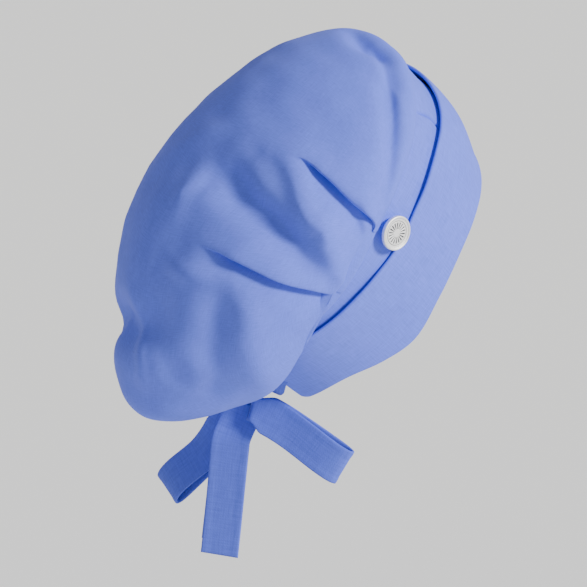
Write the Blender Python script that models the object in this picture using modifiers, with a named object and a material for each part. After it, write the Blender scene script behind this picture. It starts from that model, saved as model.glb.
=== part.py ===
"""Tie-back cloth cap with a turned-up cuff, in the form it takes when worn.

Metres, +Z up. The cap faces -Y and the wearer's right side is at -X. The origin is the
centre of the oval that the cuff's upper edge makes round the head. That oval is pitched:
its front is high on the forehead and its rear is low at the nape.

Places on the cap are given in the pitched frame: FORWARD and SIDE lie in the oval's plane
and RISE stands on it. An angle of 0 is the front centre and 90 is the wearer's right.
"""
from math import asin, cos, pi, radians, sin

import bmesh
import bpy
import numpy as np
from mathutils import Vector

# Head oval and band, in metres.
RING_LENGTH = 0.210        # cuff's upper edge, outside, front to back
RING_WIDTH = 0.170         # the same edge, side to side
BAND_PITCH = 44.0          # degrees that the front stands up
CUFF_HEIGHT = 0.060
CUFF_DRAW_IN = 0.007       # how far the lower edge draws in towards the head
CUFF_BULGE = 0.005         # how far the forehead pushes its middle out, at the front
CUFF_WALL = 0.002          # two hemmed layers
CUFF_STAND_OFF = 0.001     # air between the cuff and the band behind it
CUFF_END = 157.0           # degrees from the front to each rear end
CUFF_CORNER = 0.006
BAND_WALL = 0.0015
BAND_EDGE_BACK = 0.001     # the band stops this far above the cuff's lower edge
FIT_GAP = 0.0003           # air between pieces that touch

# Crown.
CROWN_WALL = 0.0015
CROWN_HEIGHT = 0.080       # pole above the oval's plane
FOLD_DEPTH = 0.008
FOLD_REACH = 0.012
PLEAT_EDGE = 0.0042        # half the width of a pleat's turned edge
PLEAT_START = 0.25         # share of a pleat's length over which it deepens from its upper end
FOLD_ENDS = 0.35           # a soft fold's depth at its ends, as a share of its middle's
SEAM_CALM = 0.15           # share of the crown above the seam over which folds set in
POLE_CALM = 0.10           # and below the pole over which they fade

# Button.
BUTTON_DIAMETER = 0.020
BUTTON_THICKNESS = 0.0026
BUTTON_DISH = 0.0005
BUTTON_RIM = 0.0016
BUTTON_ANGLE = 87.0
BUTTON_RISE = 0.007
SHANK_DIAMETER = 0.006

# Ties.
TIE_WIDTH = 0.023
TIE_WALL = 0.0012
KNOT_AT = 0.80             # the knot's height below the oval's plane, as a share of the cuff's
STRAP_AT = 0.48            # a strap's middle where it leaves the band, the same share
KNOT_SIZE = (0.018, 0.016, 0.018)
KNOT_BEVEL = 0.004
KNOT_OUT = 0.006           # outside the band's outer face
KNOT_GATHER = 0.5          # share of a tie's width where it enters the knot
GATHER_END = 0.20          # share of a tie's length that is drawn together
LOOP_BELOW = 0.005         # a loop's root below the knot's centre
LOOP_OPEN = 0.0096         # how far each side of a loop bows out
LOOP_BLUNT = 0.8           # below 1 the ribbon keeps near the loop's tip for longer
LOOP_TWIST = 0.45          # share of the way out over which a loop turns to its face
RIGHT_LOOP = (-0.049, -0.031, -0.034)    # reach from the knot's side to the loop's tip
LEFT_LOOP = (0.034, 0.027, -0.069)
RIGHT_LOOP_FACE = (-0.62, 0.75, 0.20)    # where each loop's flat side looks
LEFT_LOOP_FACE = (-0.10, 0.95, 0.30)
TAIL_FACE = 222.0          # degrees, where a tail's flat side looks
TAIL_LENGTH = 0.095
TAIL_BEND = 0.008          # how far a tail comes out from the nape below the knot
TAIL_TURN = 0.25           # share of its length over which it does
TAIL_LEAN = 0.012          # and how much further out its end hangs
TAIL_SPREAD = 0.003        # the hidden tail hangs this far behind
TAIL_SHORT = 0.008         # and ends this much higher

# Meshing.
CROWN_COLUMNS = 208
CROWN_RINGS = 90
CROWN_KEEP = 0.105         # share of the crown's faces kept after thinning
BAND_COLUMNS = 56
BAND_RINGS = 4
BAND_CROWD = 0.06          # how much the bands' columns crowd towards the rear ends
RIBBON_STEPS = 26

# Height of the crown's seam above the oval's plane, and of the cuff's edges, by angle.
# angle, seam (share of CUFF_HEIGHT), cuff upper edge, cuff lower edge (same share)
EDGE_ROWS = [
    (0, 0.43, 0.00, -1.00),
    (36, 0.43, -0.03, -1.04),
    (60, 0.42, 0.04, -0.94),
    (74, 0.37, 0.02, -0.92),
    (90, 0.31, -0.04, -0.98),
    (108, 0.14, -0.04, -1.10),
    (120, 0.07, -0.06, -1.03),
    (132, 0.07, -0.06, -0.94),
    (157, 0.07, -0.06, -1.03),
]
NAPE_SEAM = -0.20          # the seam at the rear centre, same share
NAPE_BLEND = (157.0, 176.0)

# Crown sections, from the seam to the pole. Each is two half ovals with the same sides.
# share, front_out, front_up, back_out, back_up, half_width, side_up, side_back, corner_out, corner_drop
# out and back are shares of the seam oval's half length, half_width of its half width,
# up and drop of CROWN_HEIGHT. The corners lie between the sides and the back.
CROWN_ROWS = [
    (0.00, 1.00, 0.33, 1.00, -0.15, 1.00, 0.24, 0.00, 0.00, 0.00),
    (0.05, 1.01, 0.36, 1.06, -0.20, 1.03, 0.27, 0.00, 0.02, -0.06),
    (0.10, 1.01, 0.40, 1.12, -0.33, 1.05, 0.31, 0.00, 0.02, 0.09),
    (0.22, 0.98, 0.48, 1.34, -0.21, 1.04, 0.43, 0.04, 0.02, 0.03),
    (0.36, 0.90, 0.57, 1.51, 0.08, 0.97, 0.56, 0.10, -0.03, 0.00),
    (0.52, 0.75, 0.69, 1.40, 0.40, 0.84, 0.69, 0.18, -0.07, 0.00),
    (0.68, 0.49, 0.84, 1.14, 0.66, 0.63, 0.82, 0.26, -0.04, 0.00),
    (0.84, 0.10, 0.94, 0.84, 0.88, 0.32, 0.93, 0.36, 0.00, 0.00),
    (1.00, -0.42, 1.00, 0.42, 1.00, 0.00, 1.00, 0.42, 0.00, 0.00),
]

# Pleats sewn into the seam, shorter on the left. Each runs along a bent line of three points.
# angle and share of the three points, lip height, dip depth, lip reach, dip reach
PLEAT_ROWS = [
    (66, 0.70, 82, 0.36, 91, 0.02, 0.30, 0.80, 1.2, 0.8),
    (128, 0.80, 110, 0.50, 112, 0.10, 0.35, 0.75, 1.2, 0.8),
    (-76, 0.36, -84, 0.20, -91, 0.02, 0.30, 0.70, 1.0, 0.7),
    (-116, 0.38, -112, 0.24, -112, 0.10, 0.30, 0.70, 1.0, 0.7),
]

# Soft valleys (depth below 0) and ridges (depth above 0) along the same kind of line.
# angle and share of the three points, depth, reach
FOLD_ROWS = [
    (78, 0.84, 96, 0.66, 105, 0.24, -1.00, 1.3),
    (-92, 0.38, -98, 0.28, -103, 0.16, -0.80, 1.0),
    (223, 0.32, 205, 0.60, 162, 0.69, -1.70, 1.1),
    (193, 0.72, 172, 0.60, 190, 0.48, 0.22, 0.5),
    (127, 0.42, 132, 0.50, 137, 0.58, -0.40, 0.9),
    (4, 0.24, 13, 0.30, 22, 0.20, -0.55, 0.55),
    (28, 0.34, 60, 0.28, 84, 0.13, -0.35, 0.55),
    (112, 0.15, 116, 0.17, 120, 0.19, -0.35, 0.6),
    (122, 0.26, 127, 0.20, 133, 0.15, 0.30, 0.8),
]

PITCH = radians(BAND_PITCH)
FORWARD = np.array([0.0, -cos(PITCH), sin(PITCH)])
RISE = np.array([0.0, sin(PITCH), cos(PITCH)])
SIDE = np.array([-1.0, 0.0, 0.0])
HALF_RING = np.array([RING_LENGTH, RING_WIDTH]) / 2
HALF_SEAM = HALF_RING - CUFF_WALL - CUFF_STAND_OFF
KNOT_BELOW = KNOT_AT * CUFF_HEIGHT
STRAP_BELOW = STRAP_AT * CUFF_HEIGHT


def clear_scene():
    """Remove the objects that the file opened with."""
    for item in list(bpy.data.objects):
        bpy.data.objects.remove(item, do_unlink=True)


def material(name, colour, roughness, metallic=0.0):
    """One Principled material."""
    made = bpy.data.materials.new(name)
    made.use_nodes = True
    shader = made.node_tree.nodes["Principled BSDF"]
    shader.inputs["Base Color"].default_value = (*colour, 1.0)
    shader.inputs["Roughness"].default_value = roughness
    shader.inputs["Metallic"].default_value = metallic
    return made


def smooth_step(low, high, value):
    """0 below low, 1 above high, a smooth S between them."""
    t = np.clip((value - low) / (high - low), 0, 1)
    return t * t * (3 - 2 * t)


def row_values(rows, share):
    """Columns of a table at each share, on a smooth cubic through its rows."""
    rows = np.array(rows, float)
    keys, values = rows[:, 0], rows[:, 1:]
    slopes = np.gradient(values, keys, axis=0)
    i = np.clip(np.searchsorted(keys, share, side="right") - 1, 0, len(keys) - 2)
    step = keys[i + 1] - keys[i]
    t = (share - keys[i]) / step
    start = (1 + 2 * t) * (1 - t) ** 2
    end = t * t * (3 - 2 * t)
    start_slope = t * (1 - t) ** 2 * step
    end_slope = t * t * (t - 1) * step
    mixed = (start[..., None] * values[i] + end[..., None] * values[i + 1]
             + start_slope[..., None] * slopes[i] + end_slope[..., None] * slopes[i + 1])
    return np.moveaxis(mixed, -1, 0)


def turned(angle):
    """Degrees from the front, 0 to 180, the same on both sides."""
    return np.abs((np.degrees(angle) + 180) % 360 - 180)


def edge_heights(angle):
    """Heights of the seam, the cuff's upper edge and its lower edge at each angle."""
    away = turned(angle)
    heights = row_values(EDGE_ROWS, np.minimum(away, EDGE_ROWS[-1][0])) * CUFF_HEIGHT
    seam, upper, lower = heights
    nape = smooth_step(*NAPE_BLEND, away)
    seam = seam * (1 - nape) + NAPE_SEAM * CUFF_HEIGHT * nape
    return seam, upper, lower


def place(forward, side, rise):
    """Points from their three lengths in the pitched frame."""
    return (np.asarray(forward)[..., None] * FORWARD + np.asarray(side)[..., None] * SIDE
            + np.asarray(rise)[..., None] * RISE)


def band_surface(angle, rise, inset):
    """Points on the band's oval, inset inwards, drawn in below the oval's plane."""
    depth = np.clip(-rise / CUFF_HEIGHT, 0, 1.2)
    bulge = CUFF_BULGE * np.sin(pi * np.minimum(depth, 1)) * np.clip(np.cos(angle), 0, 1) ** 2
    shrink = inset + CUFF_DRAW_IN * depth - bulge
    half_length = HALF_RING[0] - shrink
    half_width = HALF_RING[1] - shrink
    return place(half_length * np.cos(angle), half_width * np.sin(angle), rise)


def crown_base(angle, share):
    """The crown without its folds: half ovals whose sizes and heights follow CROWN_ROWS."""
    (front_out, front_up, back_out, back_up, half_width, side_up, side_back,
     corner_out, corner_drop) = row_values(CROWN_ROWS, share)
    along, across = np.cos(angle), np.sin(angle)
    corner = np.where(along < 0, np.sin(2 * angle) ** 2, 0)
    swell = 1 + corner_out * corner
    reach = np.where(along > 0, front_out + side_back, back_out - side_back)
    forward = HALF_SEAM[0] * (reach * along * swell - side_back)
    side = HALF_SEAM[1] * half_width * across * swell
    end_up = np.where(along > 0, front_up, back_up)
    rise = CROWN_HEIGHT * (end_up * along ** 2 + side_up * across ** 2 - corner_drop * corner)
    seam = edge_heights(angle)[0] + FIT_GAP
    leave_seam = smooth_step(0, CROWN_ROWS[1][0], share)
    return place(forward, side, seam * (1 - leave_seam) + rise * leave_seam)


def surface_normals(points):
    """Outward unit normals of a grid whose rows rise and whose columns turn right."""
    columns = np.concatenate([points[:, -2:-1], points, points[:, 1:2]], axis=1)
    across = columns[:, 2:] - columns[:, :-2]
    up = np.gradient(points, axis=0)
    normals = np.cross(up, across)
    length = np.linalg.norm(normals, axis=-1, keepdims=True)
    return normals / np.maximum(length, 1e-9)


def fold_line(row, steps=24):
    """Points along a fold, on a smooth curve through its three places on the crown."""
    t = np.linspace(0, 1, steps)
    weights = np.array([(1 - t) * (1 - 2 * t), 4 * t * (1 - t), t * (2 * t - 1)])
    angle = radians(1) * (weights.T @ np.array(row[0:6:2], float))
    share = weights.T @ np.array(row[1:6:2], float)
    return crown_base(angle, np.clip(share, 0, 1)), t


def from_line(points, normals, line):
    """Distance of each point from a line, its sign by side, and how far along it lies."""
    gap = points[..., None, :] - line
    nearest = np.linalg.norm(gap, axis=-1).argmin(axis=-1)
    heading = np.gradient(line, axis=0)
    heading /= np.linalg.norm(heading, axis=-1, keepdims=True)
    offset = np.take_along_axis(gap, nearest[..., None, None], axis=-2)[..., 0, :]
    ahead = heading[nearest]
    sideways = (offset * np.cross(ahead, normals)).sum(-1)
    return np.linalg.norm(offset, axis=-1), sideways, nearest / (len(line) - 1)


def fold_shift(points, normals):
    """How far each point of the crown moves out of its base surface."""
    shift = np.zeros(points.shape[:2])
    for row in PLEAT_ROWS:
        line, _ = fold_line(row)
        away, sideways, along = from_line(points, normals, line)
        lip, dip, lip_reach, dip_reach = row[6:]
        strength = smooth_step(0, PLEAT_START, along)
        over = smooth_step(-PLEAT_EDGE, PLEAT_EDGE, -np.sign(row[0]) * sideways)
        raised = lip * np.exp(-(away / (lip_reach * FOLD_REACH)) ** 2)
        sunk = dip * np.exp(-(away / (dip_reach * FOLD_REACH)) ** 2)
        shift += FOLD_DEPTH * strength * (raised * over - sunk * (1 - over))
    for row in FOLD_ROWS:
        line, _ = fold_line(row)
        away, _, along = from_line(points, normals, line)
        depth, reach = row[6:]
        strength = FOLD_ENDS + (1 - FOLD_ENDS) * np.sin(pi * along)
        shift += FOLD_DEPTH * strength * depth * np.exp(-(away / (reach * FOLD_REACH)) ** 2)
    return shift


def grid_object(name, points, wall, finish, parts, closed=False, pole=False, offset=-1.0, keep=1.0):
    """A grid of points as one cloth wall. Rows rise and columns turn right, seen from outside."""
    rings, columns = points.shape[:2]
    wrap = columns if closed else columns - 1
    top = rings - 1 if pole else rings
    vertices = points[:top].reshape(-1, 3)
    faces = []
    for j in range(top - 1):
        for i in range(wrap):
            right = (i + 1) % columns
            faces.append((j * columns + i, (j + 1) * columns + i,
                          (j + 1) * columns + right, j * columns + right))
    if pole:
        vertices = np.vstack([vertices, points[-1, 0]])
        last = (top - 1) * columns
        faces += [(last + i, top * columns, last + (i + 1) % columns) for i in range(wrap)]
    mesh = bpy.data.meshes.new(name)
    mesh.from_pydata(vertices.tolist(), [], faces)
    mesh.shade_smooth()
    mesh.materials.append(finish)
    piece = bpy.data.objects.new(name, mesh)
    parts.objects.link(piece)
    if keep < 1:
        thin = piece.modifiers.new("thin", "DECIMATE")
        thin.ratio = keep
    shell = piece.modifiers.new("wall", "SOLIDIFY")
    shell.thickness = wall
    shell.offset = offset
    return piece


def make_crown(parts, cloth):
    """The hollow pleated bag, open below along its seam."""
    angle = np.radians(np.linspace(0, 360, CROWN_COLUMNS + 1))
    share = np.linspace(0, 1, CROWN_RINGS + 1)
    angles, shares = np.meshgrid(angle, share)
    points = crown_base(angles, shares)
    normals = surface_normals(points)
    near_seam = smooth_step(0.0, SEAM_CALM, shares)
    near_pole = 1 - smooth_step(1 - POLE_CALM, 1.0, shares)
    shift = fold_shift(points, normals) * near_seam * near_pole
    points = points + shift[..., None] * normals
    return grid_object("crown", points[:, :-1], CROWN_WALL, cloth, parts,
                       closed=True, pole=True, keep=CROWN_KEEP)


def rounded_end(angle, inset):
    """How much a band's edge is cut back beside its rounded end corners."""
    half_length, half_width = HALF_RING - inset
    speed = np.hypot(half_length * np.sin(angle), half_width * np.cos(angle))
    from_end = (radians(CUFF_END) - np.abs(angle)) * speed
    short = np.clip(CUFF_CORNER - from_end, 0, CUFF_CORNER)
    return CUFF_CORNER - np.sqrt(CUFF_CORNER ** 2 - short ** 2)


def band_grid(inset, low_up, use_seam):
    """Outer face of the cuff or of the band behind it, from end to end."""
    t = np.linspace(-1, 1, BAND_COLUMNS + 1)
    angle = radians(CUFF_END) * (t + BAND_CROWD * np.sin(pi * t))
    seam, upper, lower = edge_heights(angle)
    cut = rounded_end(angle, inset)
    top = seam if use_seam else upper - cut
    bottom = lower + low_up + cut
    rise = bottom + (top - bottom) * np.linspace(0, 1, BAND_RINGS + 1)[:, None]
    return band_surface(angle + 0 * rise, rise, inset)


def make_cuff(parts, cloth):
    """The deep turned-up cuff, open at the nape, with rounded end corners."""
    return grid_object("cuff", band_grid(0.0, 0.0, False), CUFF_WALL, cloth, parts)


def make_inner_band(parts, cloth):
    """The band behind the cuff. It stands above the cuff, up to the crown's seam."""
    inset = CUFF_WALL + CUFF_STAND_OFF
    return grid_object("inner_band", band_grid(inset, BAND_EDGE_BACK, True), BAND_WALL, cloth, parts)


def make_button(parts, metal):
    """A flat metal button with a raised rim, on a shank that stands on the inner band."""
    radius = BUTTON_DIAMETER / 2
    neck = SHANK_DIAMETER / 2
    shank = CUFF_WALL + CUFF_STAND_OFF
    front = shank + BUTTON_THICKNESS
    edge = BUTTON_THICKNESS / 4
    profile = [
        (0.0, front - BUTTON_DISH),
        (radius - BUTTON_RIM, front - BUTTON_DISH),
        (radius - BUTTON_RIM + BUTTON_DISH, front),
        (radius - edge, front),
        (radius, front - edge),
        (radius, shank + edge),
        (radius - edge, shank),
        (neck, shank),
        (neck, 0.0),
        (0.0, 0.0),
    ]
    mesh = bpy.data.meshes.new("button")
    mesh.from_pydata([(x, 0.0, z) for x, z in profile], [(i, i + 1) for i in range(len(profile) - 1)], [])
    mesh.materials.append(metal)
    button = bpy.data.objects.new("button", mesh)
    parts.objects.link(button)
    turn = button.modifiers.new("turn", "SCREW")
    turn.steps = 28
    turn.render_steps = 28
    turn.use_merge_vertices = True
    turn.merge_threshold = 0.00001
    turn.use_smooth_shade = False
    angle = radians(BUTTON_ANGLE)
    foot = place(HALF_SEAM[0] * cos(angle), HALF_SEAM[1] * sin(angle), BUTTON_RISE)
    outward = place(cos(angle) / HALF_SEAM[0], sin(angle) / HALF_SEAM[1], 0.0)
    outward /= np.linalg.norm(outward)
    button.location = foot + outward * FIT_GAP
    button.rotation_mode = "QUATERNION"
    button.rotation_quaternion = Vector(outward).to_track_quat("Z", "Y")
    return button


def knot_centre():
    """The knot's place: at the nape, just outside the band's outer face."""
    drawn_in = CUFF_DRAW_IN * KNOT_BELOW / CUFF_HEIGHT
    return place(-(HALF_SEAM[0] - drawn_in + KNOT_OUT), 0.0, -KNOT_BELOW)


def make_knot(parts, cloth):
    """The knot, a rounded lump that the straps, loops and tails meet."""
    mesh = bpy.data.meshes.new("tie_knot")
    cage = bmesh.new()
    bmesh.ops.create_cube(cage, size=1.0)
    bmesh.ops.scale(cage, vec=KNOT_SIZE, verts=cage.verts)
    cage.to_mesh(mesh)
    cage.free()
    mesh.materials.append(cloth)
    knot = bpy.data.objects.new("tie_knot", mesh)
    parts.objects.link(knot)
    knot.location = knot_centre()
    rounding = knot.modifiers.new("rounding", "BEVEL")
    rounding.width = KNOT_BEVEL
    rounding.segments = 3
    return knot


def ribbon(name, middle, across, widths, parts, cloth):
    """A tie: a strip along middle, its width along across, its wall centred on the middle."""
    half = (np.asarray(widths) / 2)[:, None] * across
    points = np.stack([middle - half, middle, middle + half])
    return grid_object(name, points, TIE_WALL, cloth, parts, offset=0.0)


def unit(vector):
    """The vector at length one."""
    vector = np.asarray(vector, float)
    return vector / np.linalg.norm(vector, axis=-1, keepdims=True)


def gathered(share):
    """A tie's width along its length, drawn together where it enters the knot."""
    return TIE_WIDTH * (KNOT_GATHER + (1 - KNOT_GATHER) * smooth_step(0, GATHER_END, share))


def make_strap(name, hand, parts, cloth):
    """A strap from the band's rear end to the knot's side, round the nape."""
    t = np.linspace(0, 1, 9)
    inset = CUFF_WALL + CUFF_STAND_OFF + BAND_WALL / 2
    drawn_in = CUFF_DRAW_IN * KNOT_BELOW / CUFF_HEIGHT
    knot_side = KNOT_SIZE[0] / 2 + FIT_GAP
    last = pi - asin(knot_side / (HALF_RING[1] - inset - drawn_in))
    first = radians(CUFF_END) + FIT_GAP / HALF_RING[1]
    angle = first + (last - first) * t
    rise = -STRAP_BELOW + (STRAP_BELOW - KNOT_BELOW) * smooth_step(0, 1, t)
    widths = gathered(1 - t)
    rows = [band_surface(angle * hand, rise + side * widths / 2, inset) for side in (-1, 0, 1)]
    points = np.stack(rows)
    if hand < 0:
        points = points[:, ::-1]
    return grid_object(name, points, TIE_WALL, cloth, parts, offset=0.0)


def make_loop(name, reach, face, parts, cloth):
    """A bow loop: out from the knot's side, round a narrow tip and back beside itself."""
    out = unit(reach)
    face = unit(np.asarray(face) - np.dot(face, out) * out)
    across = np.cross(face, out)
    hand = 1.0 if reach[0] > 0 else -1.0
    clear = FIT_GAP + TIE_WALL * (0.5 + abs(face[0]))
    root = knot_centre() + np.array([hand * (KNOT_SIZE[0] / 2 + clear), KNOT_SIZE[1] / 8, -LOOP_BELOW])
    t = np.linspace(0, 1, RIBBON_STEPS)
    length = np.linalg.norm(reach) * np.sin(pi * t) ** LOOP_BLUNT
    lift = -(LOOP_OPEN * np.sin(pi * t) ** 2 + TIE_WALL) * np.cos(pi * t)
    middle = root + length[:, None] * out + lift[:, None] * face
    flat = unit(across * [0, 1, 1])
    twist = smooth_step(0, LOOP_TWIST, np.sin(pi * t))[:, None]
    widths = gathered(np.sin(pi * t))
    return ribbon(name, middle, unit(flat + (across - flat) * twist), widths, parts, cloth)


def make_tail(name, behind, shorter, parts, cloth):
    """A tail that hangs from the knot's underside to a plain square end."""
    turn = radians(TAIL_FACE)
    face = np.array([sin(turn), -cos(turn), 0.0])
    across = np.array([cos(turn), sin(turn), 0.0])
    top = knot_centre() + np.array([0.0, KNOT_SIZE[1] / 8, -KNOT_SIZE[2] / 2 - FIT_GAP])
    t = np.linspace(0, 1, RIBBON_STEPS // 2)
    drop = (TAIL_LENGTH - shorter) * t
    back = TAIL_BEND * smooth_step(0, TAIL_TURN, t) + TAIL_LEAN * t
    middle = top + np.outer(back, [0, 1, 0]) - np.outer(drop, [0, 0, 1])
    middle = middle - behind * face
    return ribbon(name, middle, across, gathered(t * 1.5), parts, cloth)


def build():
    """Every piece of the cap, in one collection."""
    clear_scene()
    parts = bpy.data.collections.new("tie_back_cap")
    bpy.context.scene.collection.children.link(parts)
    crown_cloth = material("crown_cloth", (0.24, 0.33, 0.70), 0.85)
    band_cloth = material("band_cloth", (0.26, 0.36, 0.74), 0.85)
    cuff_cloth = material("cuff_cloth", (0.25, 0.34, 0.72), 0.85)
    tie_cloth = material("tie_cloth", (0.20, 0.28, 0.62), 0.85)
    metal = material("button_metal", (0.80, 0.81, 0.82), 0.30, 1.0)
    make_crown(parts, crown_cloth)
    make_inner_band(parts, band_cloth)
    make_cuff(parts, cuff_cloth)
    make_button(parts, metal)
    make_knot(parts, tie_cloth)
    make_strap("nape_strap_right", 1, parts, tie_cloth)
    make_strap("nape_strap_left", -1, parts, tie_cloth)
    make_loop("tie_loop_right", RIGHT_LOOP, RIGHT_LOOP_FACE, parts, tie_cloth)
    make_loop("tie_loop_left", LEFT_LOOP, LEFT_LOOP_FACE, parts, tie_cloth)
    make_tail("tie_tail_front", -TAIL_SPREAD / 2, 0.0, parts, tie_cloth)
    make_tail("tie_tail_rear", TAIL_SPREAD / 2, TAIL_SHORT, parts, tie_cloth)


build()
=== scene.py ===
"""Dressed model of a tie-back surgical cap, in the form it takes when worn.

Metres, +Z up. The cap faces -Y and the wearer's right side is at -X. The origin is the
centre of the oval that the cuff's upper edge makes round the head. That oval is pitched:
its front is high on the forehead and its rear is low at the nape.

Places on the cap are given in the pitched frame: FORWARD and SIDE lie in the oval's plane
and RISE stands on it. An angle of 0 is the front centre and 90 is the wearer's right. On
the crown a share runs from the seam, 0, to the pole, 1.
"""
from math import asin, cos, pi, radians, sin

import bpy
import numpy as np
from bpy.props import FloatProperty, FloatVectorProperty, PointerProperty
from mathutils import Matrix, Vector


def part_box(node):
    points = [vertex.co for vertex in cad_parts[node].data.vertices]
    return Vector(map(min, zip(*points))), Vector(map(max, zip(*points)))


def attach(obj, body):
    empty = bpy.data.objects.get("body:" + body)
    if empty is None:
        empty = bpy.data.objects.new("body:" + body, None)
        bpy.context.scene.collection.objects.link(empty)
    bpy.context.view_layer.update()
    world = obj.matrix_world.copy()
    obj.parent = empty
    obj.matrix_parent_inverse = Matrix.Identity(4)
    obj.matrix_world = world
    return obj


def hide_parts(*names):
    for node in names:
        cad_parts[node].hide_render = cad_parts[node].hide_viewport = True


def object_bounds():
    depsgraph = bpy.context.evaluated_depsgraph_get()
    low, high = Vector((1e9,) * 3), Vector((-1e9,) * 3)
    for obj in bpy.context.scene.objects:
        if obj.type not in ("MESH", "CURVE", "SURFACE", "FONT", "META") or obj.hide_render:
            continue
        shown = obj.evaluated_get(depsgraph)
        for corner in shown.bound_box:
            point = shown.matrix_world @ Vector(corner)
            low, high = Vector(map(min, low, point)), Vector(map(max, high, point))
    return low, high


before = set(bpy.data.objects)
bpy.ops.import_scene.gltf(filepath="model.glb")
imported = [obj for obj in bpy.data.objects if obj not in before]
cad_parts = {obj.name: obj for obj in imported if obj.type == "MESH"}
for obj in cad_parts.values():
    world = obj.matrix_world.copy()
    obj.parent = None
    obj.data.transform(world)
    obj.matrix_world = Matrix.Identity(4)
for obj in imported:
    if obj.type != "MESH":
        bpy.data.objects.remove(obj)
CAD_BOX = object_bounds()

bl_info = {
    "name": "Tie-back surgical cap",
    "version": (1, 0, 0),
    "blender": (4, 5, 0),
    "location": "3D View > Sidebar > Cap",
    "description": "Makes a pleated cloth cap with a turned-up cuff, a metal button and a ribbon bow",
    "category": "Object",
}

# Sizes of the cloth: lengths in metres, angles in degrees and shares
CUFF_WALL = 0.002          # two hemmed layers
CUFF_STAND_OFF = 0.001     # air between the cuff and the band behind it
CUFF_DRAW_IN = 0.007       # how far the lower edge draws in towards the head
CUFF_BULGE = 0.005         # how far the forehead pushes its middle out, at the front
CUFF_END = 157.0           # degrees from the front to each rear end
CUFF_CORNER = 0.006        # radius of its rounded rear corners
CUFF_FLARE = 0.0011        # how far its upper edge stands off, apart from under the button
FLARE_START = 0.55         # share of its height from which it does
CUFF_RIPPLE = (0.0007, 0.07, 5)    # waves in its cloth: height, size and seed
DRAW_IN_END = 1.2          # below this share of the cuff's height, nothing draws in further
BAND_WALL = 0.0015
BAND_EDGE_BACK = 0.001     # the band stops this far above the cuff's lower edge
BAND_TOP_GAP = 0.0002      # and this far below the crown's seam
BAND_TURN_IN = 0.0008      # how far its upper edge turns in under the crown's edge
BAND_TURN_REACH = 0.0012   # over this height
CROWN_WALL = 0.0009
SEAM_ROLL = 0.0016         # how far the crown's turned edge stands off the band
SEAM_TURN = 0.0045         # seam allowance that the crown carries on below its edge
FIT_GAP = 0.0003
END_CROWD = 0.90           # how much the grids of bands and ties crowd at their ends
EDGE_CROWD = 0.96          # and a band's at its upper and lower edge
# Waves in the crown's cloth: height, size and seed
CROWN_RIPPLES = [(0.0006, 0.05, 3), (0.0003, 0.022, 8)]
# The crown's turned edge, ring by ring: how far below the seam and in from the band's face
TURNED_ROWS = [(SEAM_TURN, 0.0024), (0.0020, 0.0024), (0.0006, 0.0016), (0.0001, 0.0006)]

# Height of the crown's seam above the oval's plane, and of the cuff's edges, by angle.
# angle, seam (share of the cuff's height), cuff upper edge, cuff lower edge (same share)
EDGE_ROWS = [
    (0, 0.43, 0.00, -1.00),
    (36, 0.43, -0.03, -1.04),
    (60, 0.42, 0.04, -0.94),
    (74, 0.37, 0.02, -0.92),
    (90, 0.31, -0.04, -0.98),
    (108, 0.14, -0.04, -1.10),
    (120, 0.07, -0.06, -1.03),
    (132, 0.07, -0.06, -0.94),
    (157, 0.07, -0.06, -1.03),
]
NAPE_SEAM = -0.20              # the seam at the rear centre, same share
NAPE_BLEND = (157.0, 176.0)    # angles between which the seam drops to it

# A fine crease in the band: angle, and height as a share of the cuff's.
BAND_CREASE = [(46, 0.40), (41, 0.10), (42, -0.10)]
BAND_CREASE_DEPTH = 0.0024
BAND_CREASE_REACH = 0.0011
BAND_CREASE_GRID = (37.01, 50.01, 110)    # from, to and how many more columns there

# Crown sections, from the seam to the pole. Each is two half ovals with the same sides.
# share, front_out, front_up, back_out, back_up, half_width, side_up, side_back, corner_out, corner_drop
CROWN_ROWS = [
    (0.00, 1.00, 0.33, 1.00, -0.15, 1.00, 0.24, 0.00, 0.00, 0.00),
    (0.05, 1.01, 0.36, 1.06, -0.20, 1.03, 0.27, 0.00, 0.02, -0.06),
    (0.10, 1.01, 0.40, 1.12, -0.33, 1.05, 0.31, 0.00, 0.02, 0.09),
    (0.22, 0.98, 0.48, 1.34, -0.21, 1.04, 0.43, 0.04, 0.02, 0.03),
    (0.36, 0.90, 0.57, 1.51, 0.08, 0.97, 0.56, 0.10, -0.03, 0.00),
    (0.52, 0.75, 0.69, 1.40, 0.40, 0.84, 0.69, 0.18, -0.07, 0.00),
    (0.68, 0.49, 0.84, 1.14, 0.66, 0.63, 0.82, 0.26, -0.04, 0.00),
    (0.84, 0.10, 0.94, 0.84, 0.88, 0.32, 0.93, 0.36, 0.00, 0.00),
    (1.00, -0.42, 1.00, 0.42, 1.00, 0.00, 1.00, 0.42, 0.00, 0.00),
]

# Pleats sewn into the seam. Each path gives the pleat's angle at each share.
PLEAT_PATHS = [
    [(0.00, -112), (0.24, -112), (0.38, -116), (1.00, -118)],
    [(0.00, -91), (0.20, -84), (0.36, -76), (1.00, -72)],
    [(0.00, 92), (0.40, 81), (0.70, 66), (1.00, 55)],
    [(0.00, 113), (0.40, 108), (0.70, 114), (1.00, 138)],
]
# depth in metres, reach at the seam and higher up in metres, shares between which it fades out
PLEAT_FORMS = [
    (0.0050, 0.008, 0.013, 0.24, 0.40),
    (0.0050, 0.008, 0.013, 0.22, 0.38),
    (0.0058, 0.009, 0.019, 0.54, 0.74),
    (0.0058, 0.009, 0.020, 0.64, 0.86),
]
PLEAT_WIDEST = 0.20        # a pleat's reach in radians at most, which counts near the pole
PLEAT_WIDE_AT = 0.5        # share at which it has its higher reach
PLEAT_LAP_AT = 0.04        # share at which its layers lap fully
PLEAT_TALL_AT = 0.26       # share at which it has its full depth
PLEAT_AT_SEAM = 0.10       # its depth at the seam, as a share of the full one
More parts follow.
